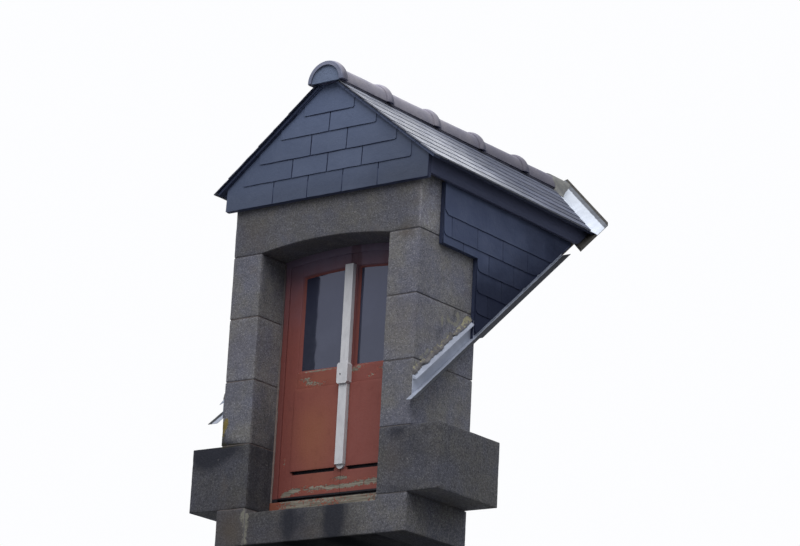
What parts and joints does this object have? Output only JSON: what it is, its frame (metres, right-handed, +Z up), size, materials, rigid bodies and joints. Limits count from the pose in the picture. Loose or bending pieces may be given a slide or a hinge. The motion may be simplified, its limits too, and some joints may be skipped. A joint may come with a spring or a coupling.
{
  "type": "dormer window",
  "caption": "Granite wall dormer with an arched double-leaf window, slate-hung gable and cheeks, a saddle roof with clay ridge tiles, and zinc valleys and flashings.",
  "frame": {"origin": "middle of the sill stone's bed, on which the dormer stands", "axes": "+X to the right seen from outside, +Y into the house, so the front faces -Y, +Z up"},
  "size_m": [1.528, 2.2445, 2.4768],
  "materials": {
    "granite": "split faces with dressed margins, weathered",
    "old_timber": "sawn, aged, untreated",
    "red_joinery": "red oxide paint, worn and peeling low down",
    "window_glass": "old drawn glass, slightly dusty",
    "white_joinery": "off-white paint, dulled",
    "boarding": "sawn softwood boards",
    "dark_fascia": "dark brown stain",
    "gable_slate": "split slate, matt blue-grey",
    "roof_slate": "split slate, satin",
    "cheek_slate": "split slate, dark, satin",
    "valley_zinc": "zinc sheet, lightly weathered",
    "flashing_zinc": "zinc sheet, dulled to grey",
    "lime_mortar": "rough lime mortar",
    "ridge_clay": "unglazed clay, weathered taupe"
  },
  "bodies": {
    "root": {"sill_stone": "granite", "left_jamb_1": "granite", "left_jamb_2": "granite", "left_jamb_3": "granite", "left_jamb_4": "granite", "right_jamb_1": "granite", "right_jamb_2": "granite", "right_jamb_3": "granite", "right_jamb_4": "granite", "lintel_stone": "granite", "inner_lintel": "old_timber", "window_frame": "red_joinery", "window_threshold": "red_joinery", "left_leaf": "red_joinery", "right_leaf": "red_joinery", "glass_panes": "window_glass", "cover_strip": "white_joinery", "gable_frame": "old_timber", "left_wall_plate": "old_timber", "right_wall_plate": "old_timber", "ridge_beam": "old_timber", "left_rafters": "old_timber", "right_rafters": "old_timber", "left_cheek_frame": "old_timber", "right_cheek_frame": "old_timber", "left_valley_board": "boarding", "right_valley_board": "boarding", "gable_boards": "boarding", "left_roof_boards": "boarding", "right_roof_boards": "boarding", "left_cheek_boards": "boarding", "right_cheek_boards": "boarding", "left_fascia": "dark_fascia", "right_fascia": "dark_fascia", "gable_slates": "gable_slate", "left_roof_slates": "roof_slate", "right_roof_slates": "roof_slate", "left_cheek_slates": "cheek_slate", "right_cheek_slates": "cheek_slate", "left_valley_zinc": "valley_zinc", "right_valley_zinc": "valley_zinc", "left_flashing": "flashing_zinc", "right_flashing": "flashing_zinc", "mortar": "lime_mortar", "ridge_tiles": "ridge_clay"}
  },
  "joints": []
}
